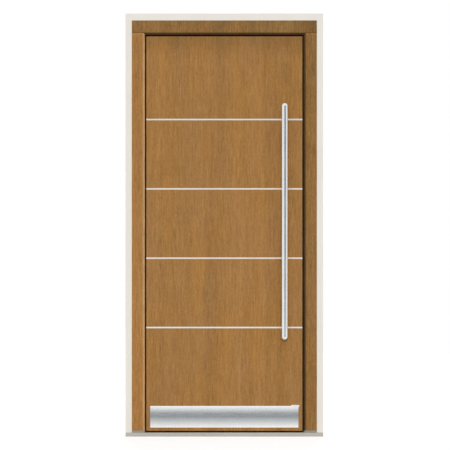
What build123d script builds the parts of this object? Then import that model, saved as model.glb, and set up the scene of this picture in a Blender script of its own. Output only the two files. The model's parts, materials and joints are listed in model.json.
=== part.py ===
from build123d import *
import math
import os

# A flush front door with its frame, in millimetres. It is seen from outside along +Y: +X is to the
# right, +Y points indoors and +Z up. The origin is the middle of the threshold's underside.

# Frame of oak: two jambs under a head, with a stop outdoors and a rebate indoors
FRAME_WIDTH = 936.0
FRAME_TOP = 2105.0
FRAME_DEPTH = 80.0
JAMB_FACE = 56.0
HEAD_FACE = 61.0
ARRIS = 10.0
STOP_DEPTH = 38.0
FOOT_HEIGHT = 10.0

# Painted extension that widens the frame to the wall opening
EXTENSION_SIDE = 32.0
EXTENSION_HEAD = 35.0
EXTENSION_SETBACK = 3.0
EXTENSION_EDGE = 1.5

# Threshold: an aluminium cover with a grooved tread over a composite base
SILL_HEIGHT = 20.0
SILL_PLATE = 4.0
SILL_NOSE = 10.0
TREAD_GROOVES = 5
TREAD_GROOVE_WIDTH = 2.5
TREAD_GROOVE_DEPTH = 1.0
TREAD_PITCH = 6.5
BASE_GROOVES = (-30.0, -15.0, 15.0, 30.0)
BASE_GROOVE_WIDTH = 7.0
BASE_GROOVE_DEPTH = 3.0

# Screw holes through each jamb and its extension, two pairs one inside the other
FIXING_RADIUS = 4.0
FIXING_FROM_STOP = 18.0
FIXING_FROM_FOOT = 220.0
FIXING_FROM_HEAD = 194.0
FIXING_PAIR_STEP = 500.0

# Leaf: a narrower outer part between the stops and a wider lip indoors
GAP_SIDE = 7.0
GAP_TOP = 9.0
GAP_BOTTOM = 8.0
LEAF_RECESS = 10.0
LEAF_THICKNESS = 70.0
LIP_OVERLAP = 22.0
LIP_CLEARANCE = 4.0
SEAL_GAP = 4.0
SKIN = 8.0
STILE = 110.0
TOP_RAIL = 110.0
BOTTOM_RAIL = 150.0

# Steel strips let into the outer skin, which divide it into five fields
INLAY_COUNT = 4
INLAY_FROM_BOTTOM = 523.0
INLAY_FROM_TOP = 421.0
INLAY_HEIGHT = 8.0
INLAY_DEPTH = 3.0
INLAY_PROUD = 0.5

# Seals: a gasket round the lip and a finned strip under the leaf
GASKET_BASE = 1.5
GASKET_FROM_EDGE = 3.0
RIDGE_FROM_EDGE = 6.0
RIDGE_WIDTH = 6.0
SEAL_CLEARANCE = 0.3
FIN_COUNT = 3
FIN_THICKNESS = 3.0
FIN_PITCH = 9.0
BOTTOM_SEAL_BASE = 3.0
BOTTOM_SEAL_INSET = 1.0

# Kick plate: a thin sheet bowed outwards, with folded ends and one small lug on its top edge
KICK_MARGIN = 20.0
KICK_ABOVE_LEAF_EDGE = 16.5
KICK_HEIGHT = 109.5
KICK_BOW = 5.0
KICK_SHEET = 1.5
LUG_WIDTH = 43.0
LUG_HEIGHT = 5.0
LUG_OVERHANG = 3.5
LUG_ROOT = 6.0

# Pull bar: a round tube with domed ends on two posts, bolted through the leaf
BAR_RADIUS = 17.0
BAR_WALL = 2.0
BAR_LENGTH = 1200.0
BAR_BOTTOM_Z = 489.0
BAR_FROM_EDGE = 91.0
BAR_STANDOFF = 65.0
POST_RADIUS = 12.5
POST_INSET = 150.0
BOLT_RADIUS = 4.0
BOLT_IN_POST = 24.0
BOLT_HEAD_RADIUS = 10.0
BOLT_HEAD_HEIGHT = 3.5

# Lock in the edge of the lip, centred on the height of the lever
LEVER_Z = 1050.0
BACKSET = 65.0
LEVER_TO_CYLINDER = 92.0
LOCK_FROM_LIP_FACE = 19.0
FACEPLATE_FROM_LIP_TOP = 212.0
FACEPLATE_WIDTH = 20.0
FACEPLATE = 3.0
CASE_DEPTH = 87.0
CASE_THICKNESS = 16.0
CASE_WALL = 1.5
CASE_ABOVE_LEVER = 45.0
CASE_BELOW_CYLINDER = 43.0
WINDOW_CLEARANCE = 0.5

# Latch, deadbolt and what moves them
BOLT_THICKNESS = 12.0
BOLT_HEIGHT = 34.0
LATCH_THROW = 12.0
LATCH_NOSE = 3.0
LATCH_HEAD_LENGTH = 31.0
TAIL_THICKNESS = 5.0
TAIL_HEIGHT = 6.0
TAIL_TAB = 7.0
DEADBOLT_ABOVE_CYLINDER = 36.0
DEADBOLT_LENGTH = 60.0
DEADBOLT_SETBACK = 0.5
HUB_RADIUS = 10.0
JOURNAL_RADIUS = 8.0
RUNNING_CLEARANCE = 0.05
SPINDLE = 8.0
CAM_WIDTH = 7.0
CAM_REACH = 18.0
CAM_THICKNESS = 5.0

# Hook bolts, one above the lever and a mirrored one below
HOOK_FROM_END = 85.0
HOOK_PIVOT_FROM_EDGE = 18.0
HOOK_REACH = 34.0
HOOK_BOSS_RADIUS = 10.0
HOOK_PIN_RADIUS = 4.0
HOOK_ARM = 16.0
HOOK_THICKNESS = 9.0
BEAK_DEPTH = 6.0
BEAK_ANGLE = 24.0
HOOK_CASE_DEPTH = 31.0
HOOK_CASE_BELOW = 16.0
HOOK_CASE_ABOVE = 40.0
HOOK_WINDOW_ABOVE = 32.5
HOOK_WINDOW_BELOW = 9.0
DRIVE_ROD = 3.0
DRIVE_ROD_WIDTH = 12.0
DRIVE_ROD_TRAVEL = 18.0
DRIVE_ROD_TO_HOOK = 11.0
DRIVE_ROD_FROM_CASE = 2.0

# Strike plates let into the rebate of the lock jamb, with pockets behind their windows
STRIKE_WIDTH = 24.0
STRIKE = 3.0
STRIKE_CLEARANCE = 1.5
STRIKE_MARGIN = 32.0
POCKET_CLEARANCE = 2.0
POCKET_DEPTH = 20.0
HOOK_POCKET_DEPTH = 12.0

# Profile cylinder with its cam, half length, worked from indoors by a turn
CYLINDER_RADIUS = 8.5
KEEL_WIDTH = 10.0
KEEL_DROP = 24.5
CYLINDER_INDOORS = 30.0
CYLINDER_OUTDOORS = 10.0
PLUG_RADIUS = 6.0
CAM_TOOTH_REACH = 15.0
CAM_TOOTH_WIDTH = 8.0
CYLINDER_CAM = 10.0
CAM_SIDE_CLEARANCE = 0.3

# Lever, turn and their round roses
ROSE_RADIUS = 26.0
ROSE_HEIGHT = 9.0
ROSE_EDGE = 2.0
LEVER_RADIUS = 9.5
LEVER_PROJECTION = 52.0
LEVER_LENGTH = 130.0
LEVER_BEND = 16.0
LEVER_END = 3.0
LEVER_CLEARANCE = 0.4
TURN_DISC_RADIUS = 15.0
TURN_DISC_HEIGHT = 5.0
TURN_GRIP_LENGTH = 34.0
TURN_GRIP_WIDTH = 12.0
TURN_GRIP_HEIGHT = 20.0
TURN_EDGE = 2.5

# Three hinges indoors: each a frame half, a leaf half and a pin
HINGE_FROM_BOTTOM = 222.0
HINGE_FROM_TOP = 205.0
HINGE_COUNT = 3
HINGE_HEIGHT = 120.0
KNUCKLE_RADIUS = 10.0
KNUCKLE_MIDDLE = 51.0
KNUCKLE_GAP = 0.5
KNUCKLE_PROUD = 1.0
HINGE_PIN_RADIUS = 5.0
HINGE_PIN_HEAD = 3.0
HINGE_PIN_HEAD_RADIUS = 8.0
HINGE_PLATE = 4.0
HINGE_PLATE_WIDTH = 34.0
HINGE_PLATE_OFFSET = 12.0
HINGE_SCREW_INSET = 20.0

# Countersunk screws, all of one size
SCREW_RADIUS = 2.2
SCREW_HEAD_RADIUS = 4.2
SCREW_HEAD_DEPTH = 2.2
SCREW_LENGTH = 26.0
FACEPLATE_SCREW_INSET = 13.0
FACEPLATE_SCREW_SHARES = (0.28, 0.56)
SCREW_SLOT_CLEARANCE = 0.8

# Places worked out from the sizes above
HALF_FRAME = FRAME_WIDTH / 2
FACE_Y = -FRAME_DEPTH / 2
BACK_Y = FRAME_DEPTH / 2
STOP_Y = FACE_Y + STOP_DEPTH
ARRIS_X = HALF_FRAME - JAMB_FACE
OPENING_X = ARRIS_X - ARRIS
HEAD_JOINT_Z = FRAME_TOP - HEAD_FACE
OPENING_Z = HEAD_JOINT_Z - ARRIS
FOOT_TOP = SILL_HEIGHT + FOOT_HEIGHT
HALF_WIDTH = HALF_FRAME + EXTENSION_SIDE
OVERALL_TOP = FRAME_TOP + EXTENSION_HEAD
LEAF_X = OPENING_X - GAP_SIDE
LIP_X = LEAF_X + LIP_OVERLAP
REBATE_X = LIP_X + LIP_CLEARANCE
LEAF_FACE_Y = FACE_Y + LEAF_RECESS
LEAF_BACK_Y = LEAF_FACE_Y + LEAF_THICKNESS
LIP_Y = STOP_Y + SEAL_GAP
CORE_FRONT_Y = LEAF_FACE_Y + SKIN
CORE_BACK_Y = LEAF_BACK_Y - SKIN
LEAF_BOTTOM = SILL_HEIGHT + GAP_BOTTOM
LEAF_TOP = OPENING_Z - GAP_TOP
LIP_TOP = LEAF_TOP + LIP_OVERLAP
REBATE_Z = LIP_TOP + LIP_CLEARANCE
STILE_INNER_X = LEAF_X - STILE
BAR_X = LEAF_X - BAR_FROM_EDGE
BAR_Y = LEAF_FACE_Y - BAR_STANDOFF
BAR_TOP_Z = BAR_BOTTOM_Z + BAR_LENGTH
POST_HEIGHTS = (BAR_BOTTOM_Z + POST_INSET, BAR_TOP_Z - POST_INSET)
FIXING_Y = STOP_Y + FIXING_FROM_STOP
FIXING_LOWEST_Z = FOOT_TOP + FIXING_FROM_FOOT
FIXING_HIGHEST_Z = HEAD_JOINT_Z - FIXING_FROM_HEAD
LOCK_Y = LIP_Y + LOCK_FROM_LIP_FACE
LEVER_X = LIP_X - BACKSET
CYLINDER_Z = LEVER_Z - LEVER_TO_CYLINDER
DEADBOLT_Z = CYLINDER_Z + DEADBOLT_ABOVE_CYLINDER
FACEPLATE_X = LIP_X - FACEPLATE
CASE_X = FACEPLATE_X - CASE_DEPTH
CASE_BOTTOM = CYLINDER_Z - CASE_BELOW_CYLINDER
CASE_TOP = LEVER_Z + CASE_ABOVE_LEVER
CASE_BOTTOM_FLIPPED = 2 * LEVER_Z - CASE_BOTTOM
HOOK_X = LIP_X - HOOK_PIVOT_FROM_EDGE
HALF_FACEPLATE = LIP_TOP - FACEPLATE_FROM_LIP_TOP - LEVER_Z
HOOK_Z = LEVER_Z + HALF_FACEPLATE - HOOK_FROM_END
SCREWS_FROM_LEVER = [share * HALF_FACEPLATE for share in FACEPLATE_SCREW_SHARES]
ROSE_Y = LEAF_BACK_Y + ROSE_HEIGHT
HINGE_X = -(LIP_X + REBATE_X) / 2
HINGE_Y = LEAF_BACK_Y + KNUCKLE_RADIUS + KNUCKLE_PROUD
HINGE_NAMES = ["lower", "middle", "upper", "top"]


def spread(low, high, count):
    """Heights at equal steps from the lowest to the highest."""
    return [low + i * (high - low) / (count - 1) for i in range(count)]


INLAY_HEIGHTS = spread(LEAF_BOTTOM + INLAY_FROM_BOTTOM, LEAF_TOP - INLAY_FROM_TOP, INLAY_COUNT)
HINGE_HEIGHTS = spread(LEAF_BOTTOM + HINGE_FROM_BOTTOM, LEAF_TOP - HINGE_FROM_TOP, HINGE_COUNT)


def block(x, y, z):
    """A box between two limits along each axis."""
    middle = [(low + high) / 2 for low, high in (x, y, z)]
    return Pos(*middle) * Box(x[1] - x[0], y[1] - y[0], z[1] - z[0])


def along_x(sketch, x0, x1):
    """A sketch drawn in (y, z), run from x0 to x1."""
    return extrude(Plane.YZ.offset(x0) * sketch, amount=x1 - x0)


def along_y(sketch, y0, y1):
    """A sketch drawn in (x, z), run from y0 to y1."""
    return extrude(Plane.XZ.offset(-y1) * sketch, amount=y1 - y0)


def along_z(sketch, z0, z1):
    """A sketch drawn in (x, y), run from z0 to z1."""
    return extrude(Plane.XY.offset(z0) * sketch, amount=z1 - z0)


def outline(*points):
    """A polygon that faces the same way whichever way round its points are listed."""
    following = points[1:] + points[:1]
    turning = sum(a[0] * b[1] - a[1] * b[0] for a, b in zip(points, following))
    ordered = points if turning > 0 else points[::-1]
    return Polygon(*ordered, align=None)


def disc(u, v, radius):
    return Pos(u, v) * Circle(radius)


def laminated(member, y):
    """The member as the two boards it is glued up from, which meet at a depth."""
    return split(member, bisect_by=Plane.XZ.offset(-y), keep=Keep.BOTH)


def mirrored(shape):
    """The same piece on the other side of the door."""
    return mirror(shape, Plane.YZ)


def flipped(shape):
    """The same piece as far below the lever as it was above."""
    return mirror(shape, Plane.XY.offset(LEVER_Z))


def both_heights(upper, name):
    """An upper piece and its mirror image below the lever."""
    return {name + "_upper": upper, name + "_lower": flipped(upper)}


def screw(point, into):
    """A countersunk screw with its head flush at a point, driven along a direction."""
    profile = outline(
        (0, 0),
        (SCREW_HEAD_RADIUS, 0),
        (SCREW_RADIUS, SCREW_HEAD_DEPTH),
        (SCREW_RADIUS, SCREW_LENGTH - SCREW_RADIUS),
        (0, SCREW_LENGTH),
    )
    turned = revolve(Plane.XZ * profile, Axis.Z)
    return Plane(origin=point, z_dir=into) * turned


# Screws are placed first, because they pass through the pieces they hold
def hinge_screws(side):
    """Two screws in the plate of each hinge, on the frame (side -1) or on the leaf (side 1)."""
    x = HINGE_X + side * (HINGE_PLATE_OFFSET + HINGE_PLATE_WIDTH / 2)
    offset = HINGE_HEIGHT / 2 - HINGE_SCREW_INSET
    places = [(x, LEAF_BACK_Y + HINGE_PLATE, z + up) for z in HINGE_HEIGHTS for up in (-offset, offset)]
    return [screw(place, (0, -1, 0)) for place in places]


def strike_spans():
    """The lowest and highest point of each strike plate."""
    hook_low = HOOK_Z - HOOK_WINDOW_BELOW - STRIKE_MARGIN
    hook_high = HOOK_Z + HOOK_WINDOW_ABOVE + STRIKE_MARGIN
    main_low = DEADBOLT_Z - BOLT_HEIGHT / 2 - STRIKE_MARGIN
    main_high = LEVER_Z + BOLT_HEIGHT / 2 + STRIKE_MARGIN
    return {
        "strike_main": (main_low, main_high),
        "strike_upper": (hook_low, hook_high),
        "strike_lower": (2 * LEVER_Z - hook_high, 2 * LEVER_Z - hook_low),
    }


def strike_screws():
    inset = STRIKE_WIDTH / 2
    heights = [z for low, high in strike_spans().values() for z in (low + inset, high - inset)]
    return [screw((REBATE_X, LOCK_Y, z), (1, 0, 0)) for z in heights]


def faceplate_screws():
    ups = (*SCREWS_FROM_LEVER, HALF_FACEPLATE - FACEPLATE_SCREW_INSET)
    return [screw((LIP_X, LOCK_Y, LEVER_Z + s * up), (-1, 0, 0)) for up in ups for s in (-1, 1)]


FRAME_SCREWS = hinge_screws(-1) + strike_screws()
LEAF_SCREWS = hinge_screws(1) + faceplate_screws()


# Frame
def jamb_outline():
    """Section of the lock jamb: chamfered stop outdoors, rebate indoors."""
    return outline(
        (ARRIS_X, FACE_Y),
        (HALF_FRAME, FACE_Y),
        (HALF_FRAME, BACK_Y),
        (REBATE_X, BACK_Y),
        (REBATE_X, STOP_Y),
        (OPENING_X, STOP_Y),
        (OPENING_X, FACE_Y + ARRIS),
    )


def fixing_holes():
    """Holes for the frame screws, along X through the lock jamb and its extension."""
    steps = (0, FIXING_PAIR_STEP)
    heights = [FIXING_LOWEST_Z + step for step in steps] + [FIXING_HIGHEST_Z - step for step in steps]
    return [along_x(disc(FIXING_Y, z, FIXING_RADIUS), OPENING_X, HALF_WIDTH + 1) for z in heights]


def plain_jamb():
    """The lock jamb up to the head, mitred only where the chamfers meet."""
    body = along_z(jamb_outline(), FOOT_TOP, HEAD_JOINT_Z)
    corner = outline((OPENING_X, OPENING_Z), (ARRIS_X, HEAD_JOINT_Z), (OPENING_X, HEAD_JOINT_Z))
    return body - along_y(corner, FACE_Y, BACK_Y) - fixing_holes()


def head():
    """Across both jambs, with the same chamfer, stop and rebate."""
    bar = block((-HALF_FRAME, HALF_FRAME), (FACE_Y, BACK_Y), (HEAD_JOINT_Z, FRAME_TOP))
    stop = outline(
        (-ARRIS_X, HEAD_JOINT_Z),
        (ARRIS_X, HEAD_JOINT_Z),
        (OPENING_X, OPENING_Z),
        (-OPENING_X, OPENING_Z),
    )
    rebate = block((-REBATE_X, REBATE_X), (STOP_Y, BACK_Y), (OPENING_Z, REBATE_Z))
    chamfer = outline((FACE_Y, OPENING_Z), (FACE_Y, HEAD_JOINT_Z), (FACE_Y + ARRIS, OPENING_Z))
    return bar + along_y(stop, FACE_Y, STOP_Y) - rebate - along_x(chamfer, -ARRIS_X, ARRIS_X)


def extension_side():
    front = FACE_Y + EXTENSION_SETBACK
    body = block((HALF_FRAME, HALF_WIDTH), (front, BACK_Y), (SILL_HEIGHT, FRAME_TOP))
    body = fillet(body.edges().filter_by(Axis.Z).sort_by(Axis.X)[-2:], EXTENSION_EDGE)
    return body - fixing_holes()


def extension_head():
    front = FACE_Y + EXTENSION_SETBACK
    body = block((-HALF_WIDTH, HALF_WIDTH), (front, BACK_Y), (FRAME_TOP, OVERALL_TOP))
    return fillet(body.edges().filter_by(Axis.X).sort_by(Axis.Z)[-2:], EXTENSION_EDGE)


def sill_cover():
    """Top plate with a dropped nose outdoors and fine grooves in the tread."""
    nose_y = FACE_Y - SILL_NOSE
    span = (-HALF_WIDTH, HALF_WIDTH)
    top = block(span, (nose_y, BACK_Y), (SILL_HEIGHT - SILL_PLATE, SILL_HEIGHT))
    nose = block(span, (nose_y, nose_y + SILL_PLATE), (0, SILL_HEIGHT - SILL_PLATE))
    cover = top + nose
    for i in range(TREAD_GROOVES):
        y = LEAF_FACE_Y + (i + 1) * TREAD_PITCH
        groove = ((y - TREAD_GROOVE_WIDTH, y), (SILL_HEIGHT - TREAD_GROOVE_DEPTH, SILL_HEIGHT))
        cover -= block((-OPENING_X, OPENING_X), *groove)
    return cover


def sill_base():
    front = FACE_Y - SILL_NOSE + SILL_PLATE
    base = block((-HALF_WIDTH, HALF_WIDTH), (front, BACK_Y), (0, SILL_HEIGHT - SILL_PLATE))
    for y in BASE_GROOVES:
        half = BASE_GROOVE_WIDTH / 2
        base -= block((-HALF_WIDTH, HALF_WIDTH), (y - half, y + half), (0, BASE_GROOVE_DEPTH))
    return base


# Strike plates
def bolt_window(z, clearance, x0, x1):
    """A rectangular window for the latch or the deadbolt at a height."""
    half_width = BOLT_THICKNESS / 2 + clearance
    half_height = BOLT_HEIGHT / 2 + clearance
    return block((x0, x1), (LOCK_Y - half_width, LOCK_Y + half_width), (z - half_height, z + half_height))


def hook_window(clearance, x0, x1):
    """A window that the upper hook bolt swings out through."""
    half = HOOK_THICKNESS / 2 + clearance
    z = (HOOK_Z - HOOK_WINDOW_BELOW, HOOK_Z + HOOK_WINDOW_ABOVE)
    return block((x0, x1), (LOCK_Y - half, LOCK_Y + half), z)


def hook_pocket():
    """Room behind the strike plate for the beak of the upper hook bolt."""
    half = HOOK_THICKNESS / 2 + POCKET_CLEARANCE
    drop = HOOK_REACH / 2 + POCKET_CLEARANCE
    x = (REBATE_X + STRIKE, REBATE_X + STRIKE + HOOK_POCKET_DEPTH)
    z = (HOOK_Z - drop, HOOK_Z + HOOK_WINDOW_ABOVE + POCKET_CLEARANCE)
    return block(x, (LOCK_Y - half, LOCK_Y + half), z)


def strike_blank(low, high, x0, x1, width):
    """A flat bar with round ends, standing on its edge in the door's edge."""
    shape = SlotOverall(high - low, width, rotation=90)
    return along_x(Pos(LOCK_Y, (low + high) / 2) * shape, x0, x1)


def strikes():
    """The three strike plates, and all that is cut from the jamb to hold them."""
    x0, x1 = REBATE_X, REBATE_X + STRIKE
    blanks = {name: strike_blank(*span, x0, x1, STRIKE_WIDTH) for name, span in strike_spans().items()}
    hook = hook_window(STRIKE_CLEARANCE, x0, x1)
    bolts = [bolt_window(z, STRIKE_CLEARANCE, x0, x1) for z in (LEVER_Z, DEADBOLT_Z)]
    plates = {
        "strike_main": blanks["strike_main"] - bolts - FRAME_SCREWS,
        "strike_upper": blanks["strike_upper"] - hook - FRAME_SCREWS,
        "strike_lower": blanks["strike_lower"] - flipped(hook) - FRAME_SCREWS,
    }
    pockets = [bolt_window(z, POCKET_CLEARANCE, x1, x1 + POCKET_DEPTH) for z in (LEVER_Z, DEADBOLT_Z)]
    pockets += [hook_pocket(), flipped(hook_pocket())]
    return plates, list(blanks.values()) + pockets


def frame_pieces():
    jamb = plain_jamb()
    foot = along_z(jamb_outline(), SILL_HEIGHT, FOOT_TOP)
    extension = extension_side()
    plates, strike_cuts = strikes()
    return {
        "sill_cover": sill_cover(),
        "sill_base": sill_base(),
        "jamb_left": laminated(mirrored(jamb) - FRAME_SCREWS, STOP_Y),
        "jamb_right": laminated(jamb - strike_cuts - FRAME_SCREWS, STOP_Y),
        "head": laminated(head(), STOP_Y),
        "jamb_foot_left": mirrored(foot),
        "jamb_foot_right": foot,
        "extension_left": mirrored(extension),
        "extension_right": extension,
        "extension_head": extension_head(),
        **plates,
        "frame_screws": Part() + FRAME_SCREWS,
    }


# Lock furniture that both the lock and the leaf are cut for
def faceplate_blank():
    low, high = LEVER_Z - HALF_FACEPLATE, LEVER_Z + HALF_FACEPLATE
    return strike_blank(low, high, FACEPLATE_X, LIP_X, FACEPLATE_WIDTH)


def case_block(wall=0.0):
    """The lock case's outside, or its inside if a wall is given, which is open at the faceplate."""
    half = CASE_THICKNESS / 2 - wall
    return block(
        (CASE_X + wall, FACEPLATE_X),
        (LOCK_Y - half, LOCK_Y + half),
        (CASE_BOTTOM + wall, CASE_TOP - wall),
    )


def hook_case_block(wall=0.0):
    half = CASE_THICKNESS / 2 - wall
    return block(
        (FACEPLATE_X - HOOK_CASE_DEPTH + wall, FACEPLATE_X),
        (LOCK_Y - half, LOCK_Y + half),
        (HOOK_Z - HOOK_CASE_BELOW + wall, HOOK_Z + HOOK_CASE_ABOVE - wall),
    )


def rod_groove(case_end):
    """The groove behind the faceplate, from the lock case up to the upper hook case."""
    half = DRIVE_ROD_WIDTH / 2 + WINDOW_CLEARANCE
    x0 = FACEPLATE_X - 2 * WINDOW_CLEARANCE - DRIVE_ROD
    return block((x0, FACEPLATE_X), (LOCK_Y - half, LOCK_Y + half), (case_end, HOOK_Z - HOOK_CASE_BELOW))


def drive_rod(case_end):
    """A flat rod above the lock case, slotted where it slides past the faceplate's screws."""
    half = DRIVE_ROD_WIDTH / 2
    x = (FACEPLATE_X - WINDOW_CLEARANCE - DRIVE_ROD, FACEPLATE_X - WINDOW_CLEARANCE)
    z = (case_end + DRIVE_ROD_FROM_CASE, HOOK_Z - DRIVE_ROD_TO_HOOK - DRIVE_ROD_TRAVEL)
    rod = block(x, (LOCK_Y - half, LOCK_Y + half), z)
    slot_half = SCREW_RADIUS + SCREW_SLOT_CLEARANCE
    for up in SCREWS_FROM_LEVER:
        slot_z = (LEVER_Z + up - DRIVE_ROD_TRAVEL - slot_half, LEVER_Z + up + slot_half)
        rod -= block(x, (LOCK_Y - slot_half, LOCK_Y + slot_half), slot_z)
    return rod


def rod_slot():
    """Where the rod enters the upper hook case."""
    half = DRIVE_ROD_WIDTH / 2 + WINDOW_CLEARANCE
    x0 = FACEPLATE_X - 2 * WINDOW_CLEARANCE - DRIVE_ROD
    z = (HOOK_Z - HOOK_CASE_BELOW, HOOK_Z - HOOK_CASE_BELOW + CASE_WALL)
    return block((x0, FACEPLATE_X), (LOCK_Y - half, LOCK_Y + half), z)


def cylinder_profile(clearance=0.0):
    """The keyhole-shaped section of a profile cylinder, in (x, z)."""
    half = KEEL_WIDTH / 2 + clearance
    round_part = disc(LEVER_X, CYLINDER_Z, CYLINDER_RADIUS + clearance)
    straight = KEEL_DROP - half + clearance
    keel = Pos(LEVER_X, CYLINDER_Z - straight / 2) * Rectangle(2 * half, straight)
    foot = disc(LEVER_X, CYLINDER_Z - straight, half)
    return round_part + keel + foot


def bar_bolt(z):
    """A bolt with a domed head indoors, through the leaf into a post."""
    shank = along_y(disc(BAR_X, z, BOLT_RADIUS), LEAF_FACE_Y - BOLT_IN_POST, LEAF_BACK_Y)
    head_disc = along_y(disc(BAR_X, z, BOLT_HEAD_RADIUS), LEAF_BACK_Y, LEAF_BACK_Y + BOLT_HEAD_HEIGHT)
    rim = head_disc.edges().filter_by(GeomType.CIRCLE).sort_by(Axis.Y)[-1]
    return shank + fillet(rim, BOLT_HEAD_HEIGHT * 0.6)


BAR_BOLTS = [bar_bolt(z) for z in POST_HEIGHTS]


# Leaf
def inlay(z, proud):
    half = INLAY_HEIGHT / 2
    depth = (LEAF_FACE_Y - proud, LEAF_FACE_Y + INLAY_DEPTH)
    return block((-LEAF_X, LEAF_X), depth, (z - half, z + half))


def outer_skin():
    """One board over the whole outside, grooved for the inlays."""
    board = block((-LEAF_X, LEAF_X), (LEAF_FACE_Y, CORE_FRONT_Y), (LEAF_BOTTOM, LEAF_TOP))
    return board - [inlay(z, 0) for z in INLAY_HEIGHTS] - BAR_BOLTS


def furniture_holes():
    """Holes indoors for the lever's neck and for the profile cylinder, as far as the lock case."""
    lever = along_y(disc(LEVER_X, LEVER_Z, LEVER_RADIUS + POCKET_CLEARANCE), LOCK_Y, LEAF_BACK_Y)
    y0 = LOCK_Y - CYLINDER_OUTDOORS - WINDOW_CLEARANCE
    return [lever, along_y(cylinder_profile(WINDOW_CLEARANCE), y0, LEAF_BACK_Y)]


def inner_skin():
    board = block((-LIP_X, LIP_X), (CORE_BACK_Y, LEAF_BACK_Y), (LEAF_BOTTOM, LIP_TOP))
    return board - BAR_BOLTS - furniture_holes() - LEAF_SCREWS


def plain_stile():
    """The lock stile, full height, stepped back outdoors along its edge and top."""
    body = block((STILE_INNER_X, LIP_X), (CORE_FRONT_Y, CORE_BACK_Y), (LEAF_BOTTOM, LIP_TOP))
    edge_step = block((LEAF_X, LIP_X), (CORE_FRONT_Y, LIP_Y), (LEAF_BOTTOM, LIP_TOP))
    top_step = block((STILE_INNER_X, LIP_X), (CORE_FRONT_Y, LIP_Y), (LEAF_TOP, LIP_TOP))
    return body - edge_step - top_step


def lock_stile():
    room = hook_case_block()
    grooves = [rod_groove(CASE_TOP), flipped(rod_groove(CASE_BOTTOM_FLIPPED))]
    cuts = [faceplate_blank(), case_block(), room, flipped(room), *grooves]
    return plain_stile() - cuts - furniture_holes() - BAR_BOLTS - LEAF_SCREWS


def top_rail():
    x = (-STILE_INNER_X, STILE_INNER_X)
    body = block(x, (CORE_FRONT_Y, CORE_BACK_Y), (LEAF_TOP - TOP_RAIL, LIP_TOP))
    return body - block(x, (CORE_FRONT_Y, LIP_Y), (LEAF_TOP, LIP_TOP))


def bottom_rail():
    x = (-STILE_INNER_X, STILE_INNER_X)
    return block(x, (CORE_FRONT_Y, CORE_BACK_Y), (LEAF_BOTTOM, LEAF_BOTTOM + BOTTOM_RAIL))


def core():
    x = (-STILE_INNER_X, STILE_INNER_X)
    z = (LEAF_BOTTOM + BOTTOM_RAIL, LEAF_TOP - TOP_RAIL)
    return block(x, (CORE_FRONT_Y, CORE_BACK_Y), z)


def ring(outer, inner, y):
    """A band round the sides and top, between two insets from the lip's edge."""
    outside = block((outer - LIP_X, LIP_X - outer), y, (LEAF_BOTTOM, LIP_TOP - outer))
    inside = block((inner - LIP_X, LIP_X - inner), y, (LEAF_BOTTOM, LIP_TOP - inner))
    return outside - inside


def gasket():
    """A flat strip on the lip's outer face, with a ridge that meets the stop."""
    base_y = LIP_Y - GASKET_BASE
    base = ring(GASKET_FROM_EDGE, LIP_OVERLAP, (base_y, LIP_Y))
    ridge_y = (STOP_Y + SEAL_CLEARANCE, base_y)
    return base + ring(RIDGE_FROM_EDGE, RIDGE_FROM_EDGE + RIDGE_WIDTH, ridge_y)


def bottom_seal():
    """A strip under the leaf with fins that reach down to the tread. The last fin is as wide as the lip."""
    narrow, wide = LEAF_X - BOTTOM_SEAL_INSET, LIP_X - BOTTOM_SEAL_INSET
    half = (FIN_COUNT - 1) * FIN_PITCH / 2 + FIN_THICKNESS / 2
    base_z = (LEAF_BOTTOM - BOTTOM_SEAL_BASE, LEAF_BOTTOM)
    seal = block((-narrow, narrow), (-half, LIP_Y), base_z) + block((-wide, wide), (LIP_Y, half), base_z)
    for i in range(FIN_COUNT):
        x = wide if i == FIN_COUNT - 1 else narrow
        y = -half + i * FIN_PITCH
        fin = ((y, y + FIN_THICKNESS), (SILL_HEIGHT + SEAL_CLEARANCE, LEAF_BOTTOM - BOTTOM_SEAL_BASE))
        seal += block((-x, x), *fin)
    return seal


def bowed_outline(inward):
    """A flat back on the leaf and a bowed front, drawn in (y, z), offset inward by a thickness."""
    low = LEAF_BOTTOM + KICK_ABOVE_LEAF_EDGE
    middle = low + KICK_HEIGHT / 2
    radius = ((KICK_HEIGHT / 2) ** 2 + KICK_BOW**2) / (2 * KICK_BOW)
    arc_side = disc(LEAF_FACE_Y - KICK_BOW + radius, middle, radius - inward)
    depth = 2 * KICK_BOW
    band = Pos(LEAF_FACE_Y - depth / 2, middle) * Rectangle(depth, KICK_HEIGHT)
    return arc_side & band


def kick_plate():
    """A hollow bowed cover, open at the back, with its small lug."""
    x = LEAF_X - KICK_MARGIN
    outside = along_x(bowed_outline(0), -x, x)
    inside = along_x(bowed_outline(KICK_SHEET), KICK_SHEET - x, x - KICK_SHEET)
    top = LEAF_BOTTOM + KICK_ABOVE_LEAF_EDGE + KICK_HEIGHT
    right = x + LUG_OVERHANG
    lug_x = (right - LUG_WIDTH, right)
    lug = block(lug_x, (LEAF_FACE_Y - KICK_SHEET, LEAF_FACE_Y), (top - LUG_ROOT, top + LUG_HEIGHT))
    return outside - inside + lug


# Pull bar
def bar_solid(radius):
    """A round bar with half-sphere ends on the pull bar's axis."""
    ends = BAR_RADIUS
    profile = Plane.XZ * (
        Pos(radius / 2, BAR_LENGTH / 2) * Rectangle(radius, BAR_LENGTH - 2 * ends)
        + (Pos(0, ends) * Circle(radius) & Pos(radius / 2, BAR_LENGTH / 2) * Rectangle(radius, BAR_LENGTH))
        + (
            Pos(0, BAR_LENGTH - ends) * Circle(radius)
            & Pos(radius / 2, BAR_LENGTH / 2) * Rectangle(radius, BAR_LENGTH)
        )
    )
    return Pos(BAR_X, BAR_Y, BAR_BOTTOM_Z) * revolve(profile, Axis.Z)


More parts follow.
